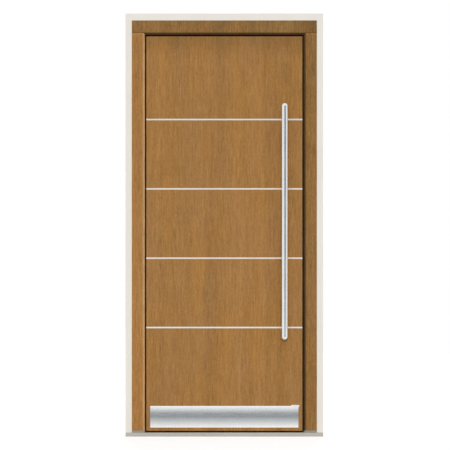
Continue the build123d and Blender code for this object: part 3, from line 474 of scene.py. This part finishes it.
# Rounded nodes, with the width of their rounding and the shortest edge that is rounded
JOINERY_EDGE = 0.03
SHEET_EDGE = 0.012
SHEET_ROUND = 0.0003
PAINTED = ("extension_left", "extension_right", "extension_head")
FEET = ("jamb_foot_left", "jamb_foot_right")
HINGE_HALVES = [
    f"hinge_{side}_half_{place}"
    for place in ("lower", "middle", "upper")
    for side in ("frame", "leaf")
]
LEAF_FRAME = ("stile_hinge_side", "stile_lock_side", "rail_top", "rail_bottom")
LOCK_PLATES = ("strike_main", "strike_upper", "strike_lower", "lock_faceplate")
ROUNDED = (
    (PAINTED, 0.0008, JOINERY_EDGE),
    (("outer_skin", "inner_skin"), 0.0008, JOINERY_EDGE),
    (FEET, 0.0006, SHEET_EDGE),
    (("sill_cover",), 0.0004, SHEET_EDGE),
    (INLAYS, 0.0002, 0.005),
    (HINGE_HALVES, 0.0005, 0.02),
    (LEAF_FRAME, 0.0006, JOINERY_EDGE),
    (LOCK_PLATES, SHEET_ROUND, SHEET_EDGE),
)
# Each member of the frame is two boards glued at the stop
MEMBER_ROUND = 0.0014
for name in ("jamb_left", "jamb_right", "head"):
    softened(name, MEMBER_ROUND, JOINERY_EDGE, STOP_Y)
for names, width, shortest in ROUNDED:
    for name in names:
        softened(name, width, shortest)

# The inner end of the lug on the kick plate slants
LUG_FROM_Z = KICK_TOP_Z + 0.001
LUG_INNER_X = 0.34
LUG_SLANT = 0.008
for vertex in softened("kick_plate", SHEET_ROUND, SHEET_EDGE).data.vertices:
    if vertex.co.z > LUG_FROM_Z and vertex.co.x < LUG_INNER_X:
        vertex.co.x += LUG_SLANT

# The socket in each screw head, as a dark star of painted shade
SOCKET_LOBES = 6
SOCKET_RADIUS = 0.0021
SOCKET_WAIST = 0.62
SOCKET_PROUD = 0.00004
SOCKET_DEPTH = 0.0004
HEAD_REACH = 0.012
LEVEL_TOLERANCE = 0.0001


def head_middles(node, axis, level):
    """The middle of every screw head of a node that ends at one level along an axis."""
    heads = []
    for vertex in NODES[node].data.vertices:
        if abs(vertex.co[axis] - level) < LEVEL_TOLERANCE:
            near = next((head for head in heads if (head[0] - vertex.co).length < HEAD_REACH), None)
            if near is None:
                heads.append([vertex.co])
            else:
                near.append(vertex.co)
    return [sum(head, Vector()) / len(head) for head in heads]


def sockets(name, node, axis, level, outward):
    """Six-lobed sockets, as thin dark stars of painted shade that stand just proud of the screw heads,
    where the hollow of each socket is in shade.
    """
    along = Vector([outward if i == axis else 0.0 for i in range(3)])
    across = Vector([1.0 if i == (axis + 1) % 3 else 0.0 for i in range(3)])
    other = along.cross(across)
    count = 2 * SOCKET_LOBES
    star = []
    for k in range(count):
        angle = k * math.pi / SOCKET_LOBES
        radius = SOCKET_RADIUS * (SOCKET_WAIST if k % 2 else 1.0)
        star.append((across * math.cos(angle) + other * math.sin(angle)) * radius)
    corners, faces = [], []
    for middle in head_middles(node, axis, level):
        low = len(corners)
        high = low + count
        for depth in (-SOCKET_DEPTH, SOCKET_PROUD):
            corners += [middle + along * depth + point for point in star]
        faces.append([low + k for k in reversed(range(count))])
        faces.append([high + k for k in range(count)])
        for k in range(count):
            after = (k + 1) % count
            faces.append([low + k, low + after, high + after, high + k])
    mesh = bpy.data.meshes.new(name)
    mesh.from_pydata(corners, [], faces)
    mesh.materials.append(MATERIALS["socket_shadow"])
    piece(name, mesh, node)


AXIS_X, AXIS_Y = 0, 1
sockets("sockets_frame_hinges", "frame_screws", AXIS_Y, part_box("frame_screws")[1].y, 1)
sockets("sockets_leaf_hinges", "leaf_screws", AXIS_Y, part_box("leaf_screws")[1].y, 1)
sockets("sockets_strikes", "frame_screws", AXIS_X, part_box("strike_main")[0].x, -1)
sockets("sockets_faceplate", "leaf_screws", AXIS_X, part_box("leaf_screws")[1].x, 1)

# Camera: far away and level, so that it sees a flat elevation
CAMERA_X = 0.0033
CAMERA_Z = 1.07
VIEW_WIDTH = 2.277
LENS = 300.0
SENSOR = 36.0

camera_data = bpy.data.cameras.new("camera")
camera_data.lens = LENS
camera_data.sensor_width = SENSOR
camera_data.clip_end = 100.0
camera = bpy.data.objects.new("camera", camera_data)
camera.location = (CAMERA_X, FRAME_FRONT_Y - VIEW_WIDTH * LENS / SENSOR, CAMERA_Z)
camera.rotation_euler = (math.radians(90), 0.0, 0.0)
bpy.context.scene.collection.objects.link(camera)
bpy.context.scene.camera = camera

# The studio around the part. Each dark band has four azimuths in degrees, where it starts, is full,
# begins to fade and ends, and it fades out between two heights of a unit direction
WORLD_LEVEL = 0.43
FROM_RIGHT = 0.3
FROM_TOP = 0.2
DARK_BANDS = ((-18.0, -8.0, 42.0, 58.0), (180.0, 188.0, 224.0, 238.0))
BAND_DEPTH = 0.72
BAND_RISE = (0.06, 0.18)


def studio_level(tree):
    """White for the camera, white with darker upright bands in gloss, and a soft level that is a little
    brighter from the right and from above for all other light."""
    w = Nodes(tree)
    x, y, z = w.parts(w.add("ShaderNodeTexCoord").outputs["Generated"])
    tilt = w.math("ADD", w.math("MULTIPLY", x, FROM_RIGHT), w.math("MULTIPLY", z, FROM_TOP))
    soft = w.math("MULTIPLY", w.math("ADD", tilt, 1.0), WORLD_LEVEL)
    azimuth = w.math("MULTIPLY", w.math("ARCTAN2", x, w.math("MULTIPLY", y, -1.0)), 180.0 / math.pi)
    turned = w.math("ADD", azimuth, w.math("MULTIPLY", w.math("LESS_THAN", azimuth, -90.0), 360.0))
    faded = w.ramp(w.math("ABSOLUTE", z), *BAND_RISE)
    depth = w.math("MULTIPLY", w.math("SUBTRACT", 1.0, faded), BAND_DEPTH)
    gloss = 1.0
    for start, full, fading, end in DARK_BANDS:
        inside = w.math("SUBTRACT", w.ramp(turned, start, full), w.ramp(turned, fading, end))
        gloss = w.math("SUBTRACT", gloss, w.math("MULTIPLY", inside, depth))
    path = w.add("ShaderNodeLightPath").outputs
    straight = w.math("MAXIMUM", path["Is Camera Ray"], path["Is Transmission Ray"])
    level = w.math("ADD", w.math("MULTIPLY", path["Is Glossy Ray"], gloss), straight, clamp=True)
    other = w.math("SUBTRACT", 1.0, w.math("MAXIMUM", path["Is Glossy Ray"], straight))
    return w.math("ADD", level, w.math("MULTIPLY", other, soft))


world = bpy.data.worlds.new("studio")
world.use_nodes = True
bpy.context.scene.world = world
background = world.node_tree.nodes["Background"]
background.inputs["Color"].default_value = WHITE
world.node_tree.links.new(studio_level(world.node_tree), background.inputs["Strength"])

# Floor: pale paper that takes shadows, and glows where it shows as the background
FLOOR_REACH = 12.0
FLOOR_Z = -0.0005
FLOOR_COLOUR = (0.6, 0.6, 0.6, 1.0)
FLOOR_GLOW = 0.6
FLOOR_SIGNS = ((-1, -1), (1, -1), (1, 1), (-1, 1))
FLOOR_CORNERS = [(x * FLOOR_REACH, y * FLOOR_REACH, 0.0) for x, y in FLOOR_SIGNS]


def floor_paper():
    material = bpy.data.materials.new("floor_paper")
    material.use_nodes = True
    material.node_tree.nodes.clear()
    n = Nodes(material.node_tree)
    diffuse = n.add("ShaderNodeBsdfDiffuse")
    n.link(FLOOR_COLOUR, diffuse.inputs["Color"])
    glow = n.add("ShaderNodeEmission")
    n.link(n.math("MULTIPLY", n.seen_background(), FLOOR_GLOW), glow.inputs["Strength"])
    both = n.add("ShaderNodeAddShader")
    n.link(diffuse.outputs[0], both.inputs[0])
    n.link(glow.outputs[0], both.inputs[1])
    n.link(both.outputs[0], n.add("ShaderNodeOutputMaterial").inputs["Surface"])
    return material


floor_mesh = bpy.data.meshes.new("floor")
floor_mesh.from_pydata(FLOOR_CORNERS, [], [(0, 1, 2, 3)])
floor_mesh.materials.append(floor_paper())
floor = bpy.data.objects.new("floor", floor_mesh)
floor.location.z = FLOOR_Z
bpy.context.scene.collection.objects.link(floor)

# Lamps: azimuth in degrees, where 0 is from the camera's side and it grows to the right, and strength
SUNS = {"key": (0, 1.7), "right": (90, 1.1), "back": (180, 1.7), "left": (270, 0.6)}
SUN_ELEVATION = math.radians(10)
SUN_SOFTNESS = math.radians(14)


def sun(name, azimuth, strength):
    """A soft lamp that gloss doesn't show."""
    data = bpy.data.lights.new(name, "SUN")
    data.energy = strength
    data.angle = SUN_SOFTNESS
    obj = bpy.data.objects.new(name, data)
    level = math.cos(SUN_ELEVATION)
    towards = Vector((math.sin(azimuth) * level, -math.cos(azimuth) * level, math.sin(SUN_ELEVATION)))
    obj.rotation_euler = towards.to_track_quat("Z", "Y").to_euler()
    obj.visible_glossy = False
    bpy.context.scene.collection.objects.link(obj)


for name, (azimuth, strength) in SUNS.items():
    sun(name, math.radians(azimuth), strength)

bpy.context.scene.view_settings.view_transform = "Standard"
